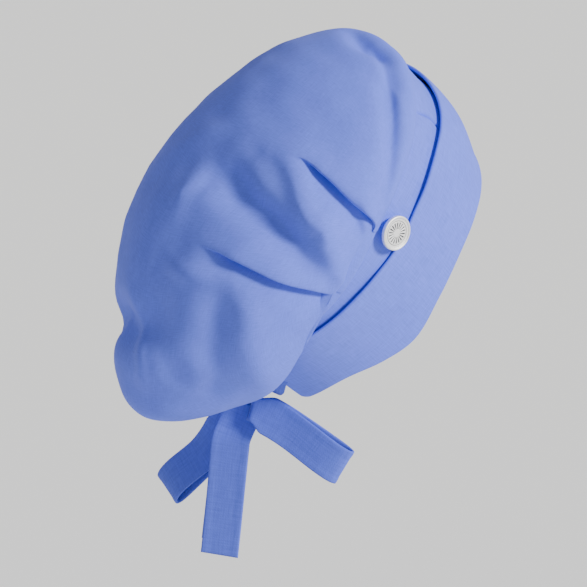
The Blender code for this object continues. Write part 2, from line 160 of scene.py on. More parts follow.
# A pleat's section, from the sunk side to the lip side: a place along the cloth, how far
# across the pleat it lies as a share of the reach, and its height as a share of the depth.
PLEAT_SECTION = [
    (-1.00, -1.00, 0.00),
    (-0.75, -0.72, -0.10),
    (-0.50, -0.42, -0.34),
    (-0.28, -0.14, -0.60),
    (-0.12, 0.04, -0.76),
    (0.00, 0.09, -0.72),
    (0.10, 0.04, -0.40),
    (0.20, -0.06, -0.02),
    (0.30, -0.08, 0.26),
    (0.45, 0.02, 0.42),
    (0.65, 0.28, 0.38),
    (0.85, 0.68, 0.14),
    (1.00, 1.00, 0.00),
]
# Columns of the crown's grid between the pleats' borders, from the rear round by the left.
# The odd entries lie across the pleats.
CROWN_COLUMNS = (24, 18, 6, 18, 92, 44, 24, 44, 50)
CROWN_RINGS = 132
SEAM_RINGS = [0.0, 0.002, 0.005]    # shares of the rings next to the seam
FIRST_RING = 0.009         # share from which the other rings run on
POLE_CROWD = 0.1           # how much the rings spread out towards the pole
LOOSE_CLOTH = (0.10, 0.93)     # shares between which the folds have their full depth
ROLL_START = (-0.003, 0.008)   # shares over which the turned edge swells, and then ends
ROLL_END = (0.010, 0.045)
NEAR_POLE = 0.985          # the last share whose direction round the crown is used
CROWN_RADIAL = 0.30        # cloth from the pole to the seam, which the weave is scaled by

FOLD_ENDS = 0.35           # strength of a fold's ends, as a share of its middle's
FOLD_BORDER = 0.004        # half the width over which one side's reach becomes the other's
PATH_STEPS = 60            # places on a fold's path that its bell is taken from

# Soft valleys (depth below 0) and ridges (depth above 0), in metres, with their reach to the
# front side and to the rear side of the path. Each path is a run of angles and shares.
FOLD_ROWS = [
    (-0.0092, 0.007, 0.015, [(60, 0.88), (86, 0.76), (96, 0.56), (105, 0.22)]),
    (0.0046, 0.010, 0.006, [(58, 0.76), (88, 0.55), (95, 0.35), (108, 0.12)]),
    (-0.0022, 0.003, 0.007, [(86, 0.30), (95, 0.12)]),
    (-0.0064, 0.012, 0.012, [(-92, 0.38), (-98, 0.28), (-103, 0.16)]),
    (-0.0116, 0.012, 0.012, [(223, 0.32), (205, 0.60), (162, 0.69)]),
    (0.0018, 0.004, 0.005, [(193, 0.74), (170, 0.60), (172, 0.46)]),
    (-0.0020, 0.010, 0.008, [(158, 0.62), (150, 0.40)]),
    (0.0036, 0.012, 0.011, [(116, 0.58), (125, 0.34), (145, 0.16)]),
    (-0.0030, 0.008, 0.010, [(124, 0.60), (135, 0.42), (148, 0.30)]),
    (-0.0046, 0.014, 0.016, [(118, 0.90), (155, 0.83), (170, 0.70)]),
    (0.0030, 0.014, 0.014, [(172, 0.64), (142, 0.48)]),
    (-0.0045, 0.014, 0.014, [(170, 0.46), (138, 0.26)]),
    (0.0030, 0.007, 0.006, [(152, 0.84), (135, 0.76), (118, 0.62)]),
    (-0.0060, 0.006, 0.006, [(-4, 0.28), (10, 0.35), (22, 0.28)]),
    (-0.0042, 0.004, 0.007, [(8, 0.27), (45, 0.30), (86, 0.12)]),
    (-0.0014, 0.006, 0.009, [(112, 0.16), (132, 0.12)]),
    (0.0020, 0.010, 0.010, [(-95, 0.68), (-65, 0.82), (-30, 0.86)]),
    (-0.0030, 0.014, 0.014, [(-60, 0.90), (30, 0.92), (80, 0.84)]),
]

# The button, in metres and degrees, with the grooves of its face as shares of its radius
BUTTON_ANGLE = 87.0        # from the front
BUTTON_CLEAR = (9, 20)     # degrees beside it between which the cuff's edge starts to stand off
BUTTON_RISE = 0.007        # its middle above the oval's plane
BUTTON_THICKNESS = 0.0026
BUTTON_EDGE = 0.00065      # rounding of its outer edges
BUTTON_RIM = 0.0016
BUTTON_DISH = 0.0005       # from the rim down to the face
RIM_STEP = 0.0003          # width of that step
SHANK_COLLAR = 0.0036
COLLAR_DROP = 0.0004
SHANK_RADIUS = 0.003
RAY_COUNT = 18
RAYS_START = (0.20, 0.26)
RAYS_END = (0.58, 0.64)
RING_AT = 0.70
RING_REACH = 0.018
GROOVE_DEPTH = 0.00016

# The ties, in metres and shares
TIE_WALL = 0.0011
HEM_WIDTH = (0.003, 0.0045)    # from a tie's edge to where its turned layers end
HEM_EXTRA = 0.45           # thickness that the turned layers add, as a share
GATHERED = 0.6             # a tie's width at the knot, as a share
GATHER_END = 0.14          # share of its length over which it widens
KNOT_AT = 0.80             # the knot's middle below the oval's plane, as a share of the cuff's height
STRAP_AT = 0.48            # the straps' outer ends, same share
STRAP_END = 0.0085         # from the rear centre to where a strap enters the knot
STRAP_OVERLAP = 0.02       # angle in radians that a strap runs on to the band
STRAP_OUT = 0.0012         # a strap's middle outside the band's
ROOT_DROP = np.array([0.0, 0.001, -0.0045])    # from the knot's side down to the loops' roots
LOOP_ROOT = (0.0072, 0.003, -0.005)    # from the knot's middle to its side: outwards, back and up
LOOP_CROWD = 0.06          # how much the rows crowd at a loop's tip
LOOP_BLUNT = 0.8           # below 1, the tip is blunter than a sine
LOOP_OPEN = 0.0096         # how far the two layers bow apart
LOOP_LAYER = 0.0012        # half the distance between them at the root
LOOP_TWIST = 0.45          # share of the length over which the strip turns to face its own way
# side, tip from the knot's side, way in which one layer lies behind the other, droop, flat length
LOOP_ROWS = [
    ("right", (-0.049, -0.031, -0.034), (-0.62, 0.75, 0.20), -0.003, 0.14),
    ("left", (0.034, 0.027, -0.069), (-0.10, 0.95, 0.30), 0.009, 0.16),
]
TAIL_FACING = 222.0        # degrees from the front, the way the tails face
TAIL_TOP = (0.0, 0.002, -0.0085)    # from the knot's middle
TAIL_SET_BACK = 0.008      # how far the tail steps back below the knot
TAIL_TURN = 0.25           # share of its length over which it does
TAIL_LEAN = 0.012          # how much further back its end is
TAIL_WAVE = 0.0006
TAIL_FULLER = (0.09, 3)    # how wide a tail starts, and how fast it reaches full width
# side, distance behind the tails' middle, how much shorter
TAIL_ROWS = [("front", -0.0015, 0.0), ("rear", 0.0015, 0.008)]
KNOT_SQUARE = 0.75         # below 1, the knot is boxier than a ball
KNOT_CORE = 0.93           # its size between the wraps, as a share
WRAP_RISE = 0.06           # how far the ribbon's wraps stand out, as a share
WRAP_COUNT = 2.5
WRAP_SLANT = 0.8
KNOT_LUMPS = 0.02          # uneven swelling round it, as a share

# Thread spacing as drawn and rise of the weave, in metres
BODY_WEAVE = (0.0008, 0.00016)
TIE_WEAVE = (0.0009, 0.00022)
SLUB_THREADS = 14          # a slub's length in threads
DYE_PATCH = 0.03           # size of the dye's uneven patches
PLATE_GRAIN = 0.0006       # size of the marks that tumbling leaves

# The photo, the light and the floor
PHOTO_SIDE = 587           # pixels
ORIGIN_PIXEL = np.array([301.6, 205.9])    # where the origin shows in the photo
SENSOR = 36.0              # millimetres
KEY_TOWARDS = (0.79, 0.32, 0.53)    # shares of the camera's right, up and backward directions
KEY_SUN = (5.1, radians(14), (1.0, 0.985, 0.96))    # strength, angular size and colour
TOP_TOWARDS = (0.1, 0.1, 1.0)
TOP_SUN = (0.25, radians(60), (0.97, 0.98, 1.0))
SKY_STRENGTH = 0.36
FLOOR_COLOUR = "#F6F7F7"
FLOOR_SIDE = 14.0

PITCH = radians(44)
FORWARD = np.array([0.0, -cos(PITCH), sin(PITCH)])
RISE = np.array([0.0, sin(PITCH), cos(PITCH)])
SIDE = np.array([-1.0, 0.0, 0.0])


# Colour


def linear(code):
    """Linear colour of an sRGB hex code."""
    parts = np.array([int(code[i:i + 2], 16) for i in (1, 3, 5)]) / 255
    low, high = parts / 12.92, ((parts + 0.055) / 1.055) ** 2.4
    return tuple(float(v) for v in np.where(parts <= 0.04045, low, high))


# Settings


def length_setting(name, description, metres):
    """A setting that is a length."""
    return FloatProperty(name=name, description=description, default=metres,
                         unit="LENGTH", subtype="DISTANCE")


def turn_setting(name, description, degrees):
    """A setting that is an angle."""
    return FloatProperty(name=name, description=description, default=radians(degrees),
                         unit="ROTATION", subtype="ANGLE")


def colour_setting(name, description, code):
    """A setting that is a colour, from its sRGB hex code."""
    return FloatVectorProperty(name=name, description=description, default=linear(code),
                               subtype="COLOR", size=3, min=0, max=1)


class CapSizes(bpy.types.PropertyGroup):
    """Sizes of the cap."""

    ring_length: length_setting("Ring length", "Cuff's upper edge, outside, front to back", 0.210)
    ring_width: length_setting("Ring width", "Cuff's upper edge, outside, side to side", 0.170)
    cuff_height: length_setting("Cuff height", "Depth of the turned-up cuff", 0.060)
    crown_height: length_setting("Crown height", "Crown's top above the oval's plane", 0.080)
    button_diameter: length_setting("Button", "Diameter of the side button", 0.020)
    tie_width: length_setting("Tie width", "Width of the ties where they are not gathered", 0.023)
    tail_length: length_setting("Tail length", "Length of the front tail below the knot", 0.095)


class CapColours(bpy.types.PropertyGroup):
    """Colours of the cap's cloth and metal."""

    cloth: colour_setting("Cloth", "Dyed cotton blend of the crown, band and cuff", "#687BF2")
    # The ties' colour is the cloth's own colour darkened as painted shade, standing in for the crown's
    # shadow over the bow
    ties: colour_setting("Ties", "The same cloth, cut as strips", "#5A6CDC")
    metal: colour_setting("Metal", "Nickel plate of the button", "#FBFBFC")
    engraving: colour_setting("Engraving", "Darkened grooves of the button", "#4A4E55")


class StageSizes(bpy.types.PropertyGroup):
    """The camera's place and the floor."""

    azimuth: turn_setting("Azimuth", "Camera's direction round the cap", 232)
    elevation: turn_setting("Elevation", "Camera's height above the horizon", 22)
    distance: length_setting("Distance", "From the camera to the cap's middle", 1.433)
    lens: FloatProperty(name="Lens", description="Focal length in millimetres", default=150.0)
    floor_drop: length_setting("Floor drop", "Air between the ties' ends and the floor", 0.16)


# Shapes


def smooth_step(low, high, value):
    """0 below low, 1 above high, a smooth S between them."""
    t = np.clip((value - low) / (high - low), 0, 1)
    return t * t * (3 - 2 * t)


def row_values(rows, key):
    """Columns of a table at each key, on a smooth cubic through its rows."""
    rows = np.array(rows, float)
    keys, values = rows[:, 0], rows[:, 1:]
    slopes = np.gradient(values, keys, axis=0)
    i = np.clip(np.searchsorted(keys, key, side="right") - 1, 0, len(keys) - 2)
    step = keys[i + 1] - keys[i]
    t = np.clip((key - keys[i]) / step, 0, 1)
    start = (1 + 2 * t) * (1 - t) ** 2
    end = t * t * (3 - 2 * t)
    start_slope = t * (1 - t) ** 2 * step
    end_slope = t * t * (t - 1) * step
    mixed = (start[..., None] * values[i] + end[..., None] * values[i + 1]
             + start_slope[..., None] * slopes[i] + end_slope[..., None] * slopes[i + 1])
    return np.moveaxis(mixed, -1, 0)


def path_values(places, count):
    """Columns of a path's places at even steps, on a smooth curve through them."""
    knots = np.column_stack([np.linspace(0, 1, len(places)), places])
    return row_values(knots, np.linspace(0, 1, count))


def unit(vector):
    """The vector at length one."""
    vector = np.asarray(vector, float)
    return vector / np.maximum(np.linalg.norm(vector, axis=-1, keepdims=True), 1e-12)


def run_length(points):
    """Length along a line of points, from its first to each."""
    return np.concatenate([[0], np.cumsum(np.linalg.norm(np.diff(points, axis=0), axis=-1))])


def half_ring(sizes):
    """Half length and half width of the cuff's oval."""
    return np.array([sizes.ring_length, sizes.ring_width]) / 2


def half_seam(sizes):
    """Half length and half width of the band's outer face."""
    return half_ring(sizes) - CUFF_WALL - CUFF_STAND_OFF


def place(forward, side, rise):
    """Points from their three lengths in the pitched frame."""
    return (np.asarray(forward)[..., None] * FORWARD + np.asarray(side)[..., None] * SIDE
            + np.asarray(rise)[..., None] * RISE)


def edge_heights(sizes, angle):
    """Heights of the seam, the cuff's upper edge and its lower edge at each angle."""
    away = np.abs((np.degrees(angle) + 180) % 360 - 180)
    seam, upper, lower = row_values(EDGE_ROWS, np.minimum(away, EDGE_ROWS[-1][0])) * sizes.cuff_height
    nape = smooth_step(*NAPE_BLEND, away)
    seam = seam * (1 - nape) + NAPE_SEAM * sizes.cuff_height * nape
    return seam, upper, lower


def band_surface(sizes, angle, rise, inset):
    """Points on the band's oval: inset inwards, drawn in below the oval's plane, full at the front."""
    depth = np.clip(-rise / sizes.cuff_height, 0, DRAW_IN_END)
    bulge = CUFF_BULGE * np.sin(pi * np.minimum(depth, 1)) * np.clip(np.cos(angle), 0, 1) ** 2
    shrink = inset + CUFF_DRAW_IN * depth - bulge
    half_length, half_width = half_ring(sizes)
    return place((half_length - shrink) * np.cos(angle), (half_width - shrink) * np.sin(angle), rise)


def crown_base(sizes, angle, share):
    """The crown without its folds: half ovals whose sizes and heights follow CROWN_ROWS."""
    (front_out, front_up, back_out, back_up, half_width, side_up, side_back,
     corner_out, corner_drop) = row_values(CROWN_ROWS, share)
    along, across = np.cos(angle), np.sin(angle)
    corner = np.where(along < 0, np.sin(2 * angle) ** 2, 0)
    swell = 1 + corner_out * corner
    reach = np.where(along > 0, front_out + side_back, back_out - side_back)
    half_length, half_side = half_seam(sizes)
    forward = half_length * (reach * along * swell - side_back)
    side = half_side * half_width * across * swell
    end_up = np.where(along > 0, front_up, back_up)
    rise = sizes.crown_height * (end_up * along ** 2 + side_up * across ** 2 - corner_drop * corner)
    seam = edge_heights(sizes, angle)[0] + FIT_GAP
    leave_seam = smooth_step(0, CROWN_ROWS[1][0], share)
    return place(forward, side, seam * (1 - leave_seam) + rise * leave_seam)


def crown_normals(sizes, angle, share):
    """Outward normals of the unfolded crown, from its slopes along and across."""
    step = 0.004
    low, high = np.clip(share - step, 0, 0.995), np.clip(share + step, 0.005, 0.999)
    up = crown_base(sizes, angle, high) - crown_base(sizes, angle, low)
    near_pole = np.minimum(share, NEAR_POLE)
    round_it = crown_base(sizes, angle + step, near_pole) - crown_base(sizes, angle - step, near_pole)
    return unit(np.cross(up, round_it))


def soft_folds(sizes, points):
    """Outward shift of each point: a bell across each path, fading to a third at its ends.
    The path is a smooth curve through its places, and each of its sides has its own reach."""
    shift = np.zeros(points.shape[:-1])
    for depth, front_reach, rear_reach, places in FOLD_ROWS:
        angle, share = path_values(places, PATH_STEPS)
        angle = np.radians(angle)
        line = crown_base(sizes, angle, share)
        outward = crown_normals(sizes, angle, share)
        sideways = unit(np.cross(np.gradient(line, axis=0), outward))
        nudged = crown_base(sizes, angle - 0.05 * np.sign(angle), share) - line
        sideways = sideways * np.sign((nudged * sideways).sum(-1, keepdims=True))
        strength = FOLD_ENDS + (1 - FOLD_ENDS) * np.sin(np.linspace(0, pi, len(line)))
        bell = np.zeros(points.shape[:-1])
        for spot, across, strong in zip(line, sideways, strength):
            gap = points - spot
            front = smooth_step(-FOLD_BORDER, FOLD_BORDER, gap @ across)
            reach = rear_reach + (front_reach - rear_reach) * front
            bell = np.maximum(bell, strong * np.exp(-(gap ** 2).sum(-1) / reach ** 2))
        shift += depth * bell
    return shift


def rumple(points, size, seed):
    """Slow random rise and fall between -1 and 1: a few waves of about that size in all directions."""
    rng = np.random.default_rng(seed)
    total = np.zeros(points.shape[:-1])
    count = 9
    for _ in range(count):
        wave = unit(rng.normal(size=3)) * 2 * pi / (size * rng.uniform(0.7, 1.5))
        total += np.sin(points @ wave + rng.uniform(0, 2 * pi))
    return total / count ** 0.5 / 1.4


# Meshes


def grid_faces(index, flip=False, pole=False):
    """Faces of a grid of vertex numbers, and the grid places of their corners."""
    rows, columns = index.shape
    j, i = np.meshgrid(np.arange(rows - 1), np.arange(columns - 1), indexing="ij")
    corners = np.stack([j * columns + i, (j + 1) * columns + i,
                        (j + 1) * columns + i + 1, j * columns + i + 1], axis=-1)
    if flip:
        corners = corners[..., ::-1]
    if not pole:
        return [corners.reshape(-1, 4)]
    last = corners[-1]
    keep = [0, 1, 3] if not flip else [0, 2, 3]
    return [corners[:-1].reshape(-1, 4), last[:, keep]]


def wall_object(name, middle, normal, half, uv, finish, closed=False, pole=False):
    """Cloth wall: a middle surface with a layer half its thickness out and another half in.
    The layers meet at the open edges, where half falls to nothing. Rows rise and columns turn
    to the wearer's right, seen from outside, so that outer faces point outwards."""
    rows, columns = middle.shape[:2]
    half = np.broadcast_to(half, (rows, columns))[..., None]
    outer = (middle + normal * half).reshape(-1, 3)
    inner = (middle - normal * half).reshape(-1, 3)
    outer_index = np.arange(rows * columns).reshape(rows, columns)
    inner_index = outer_index + rows * columns
    inner_index[0] = outer_index[0]
    if closed:
        outer_index[:, -1] = outer_index[:, 0]
        inner_index[:, -1] = inner_index[:, 0]
    else:
        inner_index[:, 0] = outer_index[:, 0]
        inner_index[:, -1] = outer_index[:, -1]
    if pole:
        outer_index[-1] = outer_index[-1, 0]
        inner_index[-1] = inner_index[-1, 0]
    else:
        inner_index[-1] = outer_index[-1]
    vertices = np.vstack([outer, inner])
    faces, corner_uv = [], []
    for index, flip in ((outer_index, False), (inner_index, True)):
        for corners in grid_faces(index, flip, pole):
            faces += index.reshape(-1)[corners].tolist()
            corner_uv.append(uv.reshape(-1, 2)[corners].reshape(-1, 2))
    used, faces = compact(faces)
    return mesh_object(name, vertices[used], faces, finish, np.vstack(corner_uv))


def compact(faces):
    """The vertex numbers that faces use, and the faces numbered within them."""
    flat = np.concatenate([np.array(face) for face in faces])
    used, fresh = np.unique(flat, return_inverse=True)
    ends = np.cumsum([len(face) for face in faces])
    return used, [part.tolist() for part in np.split(fresh, ends[:-1])]


def mesh_object(name, vertices, faces, finish, corner_uv=None):
    """A smooth-shaded mesh object at the origin."""
    mesh = bpy.data.meshes.new(name)
    mesh.from_pydata(vertices.tolist(), [], faces)
    mesh.shade_smooth()
    mesh.materials.append(finish)
    if corner_uv is not None:
        layer = mesh.uv_layers.new(name="cloth")
        layer.data.foreach_set("uv", np.asarray(corner_uv, np.float32).ravel())
    mesh.update()
    piece = bpy.data.objects.new(name, mesh)
    bpy.context.scene.collection.objects.link(piece)
    return piece


def edge_round(distance, radius):
    """Share of full thickness near an open edge: a quarter circle over its radius."""
    short = np.clip(1 - distance / radius, 0, 1)
    return np.sqrt(1 - short ** 2)


def ball_index(rows, columns):
    """Vertex numbers of a grid that closes round, and whose first and last rows are poles."""
    index = np.arange(rows * columns).reshape(rows, columns)
    index[:, -1] = index[:, 0]
    index[0], index[-1] = index[0, 0], index[-1, 0]
    return index


def finish_piece(piece, node):
    """The piece rides on the root and stands for its node."""
    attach(piece, "root")
    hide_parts(node)
    return piece


# Materials


def add(tree, kind, inputs=None, **settings):
    """One shader node with its settings. Each input is a value or the socket that feeds it."""
    node = tree.nodes.new("ShaderNode" + kind)
    for name, value in settings.items():
        setattr(node, name, value)
    for key, value in (inputs or {}).items():
        if isinstance(value, bpy.types.NodeSocket):
            tree.links.new(value, node.inputs[key])
        else:
            node.inputs[key].default_value = value
    return node


def new_material(name):
    """A material with its node tree and its main shader."""
    made = bpy.data.materials.new(name)
    made.use_nodes = True
    return made, made.node_tree, made.node_tree.nodes["Principled BSDF"]


def woven_cotton(name, colour, thread, rise):
    """Plain-woven cotton blend, dyed in the piece: matt, with a soft sheen at grazing angles.
    The warp and the weft each show as long thin slubs. Real threads here are 0.25 mm apart, which
    is too fine to show, so they are drawn at the spacing given."""
    # For the ties the colour given is darker than the body's: painted shade for the crown's shadow on them
    made, tree, shader = new_material(name)
    shader.inputs["Roughness"].default_value = 0.82
    shader.inputs["Specular IOR Level"].default_value = 0.15
    shader.inputs["Sheen Weight"].default_value = 0.08
    shader.inputs["Sheen Roughness"].default_value = 0.45
    shader.inputs["Sheen Tint"].default_value = (*linear("#C9D3F5"), 1)
    cloth = add(tree, "UVMap", uv_map="cloth").outputs["UV"]
    slub = SLUB_THREADS * thread
    slubs = []
    for across, along in ((thread, slub), (slub, thread)):
        at = add(tree, "Mapping", {0: cloth, "Scale": (1 / across, 1 / along, 1)}).outputs[0]
        noise = add(tree, "TexNoise", {"Vector": at, "Scale": 1.0, "Detail": 1.0})
        slubs.append(noise.outputs["Fac"])
    threads = add(tree, "Math", {0: slubs[0], 1: slubs[1]}, operation="ADD").outputs[0]
    checks = add(tree, "Mapping", {0: cloth, "Scale": (1 / thread,) * 3}).outputs[0]
    weave = add(tree, "TexChecker", {"Vector": checks, "Scale": 1.0}).outputs["Fac"]
    height = add(tree, "Math", {0: weave, 1: 0.35, 2: threads}, operation="MULTIPLY_ADD").outputs[0]
    dye_at = add(tree, "Mapping", {0: cloth, "Scale": (1 / DYE_PATCH,) * 3}).outputs[0]
    dye = add(tree, "TexNoise", {"Vector": dye_at, "Scale": 1.0, "Detail": 3.0}).outputs["Fac"]
    shade = add(tree, "Math", {0: dye, 1: 0.35, 2: threads}, operation="MULTIPLY_ADD").outputs[0]
    spread = add(tree, "MapRange", {"Value": shade, "From Min": 0.75, "From Max": 1.6,
                                    "To Min": 0.0, "To Max": 1.0}).outputs[0]
    dark = tuple(0.86 * v for v in colour)
    light = tuple(min(1.0, 1.12 * v) for v in colour)
    tint = add(tree, "Mix", {"Factor": spread, "A": (*dark, 1), "B": (*light, 1)}, data_type="RGBA")
    tree.links.new(tint.outputs["Result"], shader.inputs["Base Color"])
    bump = add(tree, "Bump", {"Height": height, "Strength": 0.35, "Distance": rise})
    tree.links.new(bump.outputs[0], shader.inputs["Normal"])
    return made


def nickel_plate(name, colour, groove_colour):
    """Nickel-plated brass, struck and tumbled: a satin white metal whose grooves stay dark."""
    made, tree, shader = new_material(name)
    shader.inputs["Metallic"].default_value = 1.0
    where = add(tree, "TexCoord").outputs["Object"]
    groove = add(tree, "Attribute", attribute_name="engraving").outputs["Fac"]
    marks = add(tree, "TexNoise", {"Vector": where, "Scale": 1 / PLATE_GRAIN, "Detail": 2.0})
    grain = marks.outputs["Fac"]
    tint = add(tree, "Mix", {"Factor": groove, "A": (*colour, 1), "B": (*groove_colour, 1)},
               data_type="RGBA")
    tree.links.new(tint.outputs["Result"], shader.inputs["Base Color"])
    rough = add(tree, "MapRange", {"Value": grain, "To Min": 0.52, "To Max": 0.64}).outputs[0]
    tree.links.new(rough, shader.inputs["Roughness"])
    bump = add(tree, "Bump", {"Height": grain, "Strength": 0.15, "Distance": 0.00003})
    tree.links.new(bump.outputs[0], shader.inputs["Normal"])
    return made


def cloth_finish(name):
    """The cloth material of that name, made once."""
    if name in bpy.data.materials:
        return bpy.data.materials[name]
    colours = bpy.context.scene.cap_colours
    # The ties get the same weave in a darker colour: painted shade for the crown's shadow over the bow
    if name == "cotton_ties_painted_shade":
        return woven_cotton(name, tuple(colours.ties), *TIE_WEAVE)
    return woven_cotton(name, tuple(colours.cloth), *BODY_WEAVE)


# Pieces


def crown_plan(sizes, shares):
    """The crown's grid: the angle of every point, and its height out of the unfolded surface.
    Between pleats the columns are spread evenly. Across a pleat they follow PLEAT_SECTION."""
    paths = np.radians([row_values(path, shares)[0] for path in PLEAT_PATHS])
    radius = half_seam(sizes)[1] * np.clip(row_values(CROWN_ROWS, shares)[4], 0.2, None)
    knots, strengths = [np.full(len(shares), -pi)], []
    for path, (depth, low_reach, high_reach, fade, end) in zip(paths, PLEAT_FORMS):
        reach = (low_reach + (high_reach - low_reach) * smooth_step(0, PLEAT_WIDE_AT, shares)) / radius
        reach = np.minimum(reach, PLEAT_WIDEST)
        kept = 1 - smooth_step(fade, end, shares)
        grown = PLEAT_AT_SEAM + (1 - PLEAT_AT_SEAM) * smooth_step(0, PLEAT_TALL_AT, shares)
        strengths.append((kept * smooth_step(0, PLEAT_LAP_AT, shares), kept * depth * grown, reach))
        knots += [path - reach, path + reach]
    knots.append(np.full(len(shares), pi))
    angles, rises = [], []
    for segment, count in enumerate(CROWN_COLUMNS):
        t = np.linspace(0, 1, count + 1)[:-1]
        start, end = knots[segment], knots[segment + 1]
        if segment % 2 == 0:
            angles.append(start[:, None] + (end - start)[:, None] * t)
            rises.append(np.zeros((len(shares), count)))
            continue
        number = segment // 2
        overlap, tall, reach = strengths[number]
        hand = -1 if paths[number][0] > 0 else 1
        tau = (2 * t - 1) * hand
        across, height = row_values(PLEAT_SECTION, tau)
        shifted = tau + overlap[:, None] * (across - tau)
        angles.append(paths[number][:, None] + hand * reach[:, None] * shifted)
        rises.append((overlap * tall)[:, None] * height)
    angles.append(np.full((len(shares), 1), pi))
    rises.append(np.zeros((len(shares), 1)))
    return np.hstack(angles), np.hstack(rises)


def make_crown(sizes, finish):
    """The hollow bag. Its lower edge is rolled in along the seam and carries on behind the band."""
    t = np.linspace(0, 1, CROWN_RINGS)
    shares = (1 - POLE_CROWD) * t + POLE_CROWD * t ** 3
    shares = np.concatenate([SEAM_RINGS, FIRST_RING + (1 - FIRST_RING) * shares])
    angle, height = crown_plan(sizes, shares)
    share = shares[:, None] + 0 * angle
    base = crown_base(sizes, angle, share)
    normal = crown_normals(sizes, angle, share)
    shift = soft_folds(sizes, base)
    for tall, size, seed in CROWN_RIPPLES:
        shift = shift + tall * rumple(base, size, seed)
    loose = smooth_step(0.0, LOOSE_CLOTH[0], share) * (1 - smooth_step(LOOSE_CLOTH[1], 1.0, share))
    roll = SEAM_ROLL * smooth_step(*ROLL_START, share) * (1 - smooth_step(*ROLL_END, share))
    points = base + normal * (shift * loose + height + roll)[..., None]
    turned = turned_edge(sizes, angle[0])
    points = np.concatenate([turned, points])
    normal = np.concatenate([np.repeat(normal[:1], len(turned), axis=0), normal])
    flat = CROWN_RADIAL * (1 - np.concatenate([np.full(len(turned), -0.01), shares]))[:, None]
    wide = np.vstack([angle[:1]] * len(turned) + [angle])
    uv = np.stack([flat * np.cos(wide), flat * np.sin(wide)], axis=-1)
    half = np.full(points.shape[:2], CROWN_WALL / 2)
    half[0] = 0
    return wall_object("cap_crown", points, normal, half, uv, finish, closed=True, pole=True)


def turned_edge(sizes, angle):
    """Rings below the crown's edge, which turn in behind the band's upper edge."""
    seam = edge_heights(sizes, angle)[0]
    rings = []
    for below, inwards in TURNED_ROWS:
        half_length, half_width = half_seam(sizes) - inwards
        rings.append(place(half_length * np.cos(angle), half_width * np.sin(angle), seam - below))
    return np.stack(rings)


def rounded_end(sizes, angle, inset):
    """How much a band's edge is cut back beside its rounded end corners."""
    half_length, half_width = half_ring(sizes) - inset
    speed = np.hypot(half_length * np.sin(angle), half_width * np.cos(angle))
    from_end = (radians(CUFF_END) - np.abs(angle)) * speed
    short = np.clip(CUFF_CORNER - from_end, 0, CUFF_CORNER)
    return CUFF_CORNER - np.sqrt(CUFF_CORNER ** 2 - short ** 2), from_end


def dense_ends(count, crowd):
    """Numbers from 0 to 1, crowded towards both ends: an even run mixed with a cosine one."""
    t = np.linspace(0, 1, count)
    return t * (1 - crowd) + crowd * (1 - np.cos(pi * t)) / 2


def band_crease(sizes, angle, rise):
    """A fine bell across the crease's curve, which fades in at its upper end."""
    path_angle, path_rise = path_values(BAND_CREASE, PATH_STEPS)
    fade_in = np.minimum(1, 3 * np.linspace(0, 1, PATH_STEPS))
    scale = half_seam(sizes).mean()
    bell = np.zeros(rise.shape)
    for there, up, strong in zip(np.radians(path_angle), path_rise * sizes.cuff_height, fade_in):
        square = ((angle - there) * scale) ** 2 + (rise - up) ** 2
        bell = np.maximum(bell, strong * np.exp(-square / BAND_CREASE_REACH ** 2))
    return bell


def band_wall(name, sizes, inset, low_up, use_seam, wall, finish, columns=260, rows=44):
    """A band round the head, from one rear end to the other, with rounded edges all round."""
    angle = radians(CUFF_END) * (2 * dense_ends(columns, END_CROWD) - 1)
    if use_seam:
        angle = np.sort(np.concatenate([angle, np.radians(np.linspace(*BAND_CREASE_GRID))]))
    seam, upper, lower = edge_heights(sizes, angle)
    cut, from_end = rounded_end(sizes, angle, inset)
    top = seam - BAND_TOP_GAP if use_seam else upper - cut
    bottom = lower + low_up + cut
    s = dense_ends(rows, EDGE_CROWD)[:, None]
    rise = bottom + (top - bottom) * s
    spread = angle + 0 * rise
    outer = band_surface(sizes, spread, rise, inset + wall / 2)
    if use_seam:
        turn_in = BAND_TURN_IN * (1 - edge_round(top - rise, BAND_TURN_REACH))
        crease = BAND_CREASE_DEPTH * band_crease(sizes, spread, rise)
        outer = band_surface(sizes, spread, rise, inset + wall / 2 + turn_in + crease)
    else:
        tall, size, seed = CUFF_RIPPLE
        soft = tall * rumple(outer, size, seed) * np.sin(pi * s)
        from_button = np.abs(np.degrees(np.abs(angle)) - BUTTON_ANGLE)
        flare = CUFF_FLARE * smooth_step(*BUTTON_CLEAR, from_button) * smooth_step(FLARE_START, 1.0, s)
        outer = band_surface(sizes, spread, rise, inset + wall / 2 - soft - flare)
    around = np.gradient(outer, axis=1)
    up = np.gradient(outer, axis=0)
    normal = unit(np.cross(up, around))
    length = run_length(outer[rows // 2])
    near = np.minimum(np.minimum(rise - bottom, top - rise), from_end[None, :])
    half = wall / 2 * edge_round(near, wall / 2)
    uv = np.stack([length + 0 * rise, rise], axis=-1)
    return wall_object(name, outer, normal, half, uv, finish)


def knot_centre():
    """The knot's middle, from its CAD node."""
    low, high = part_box("tie_knot")
    return (np.array(low) + np.array(high)) / 2


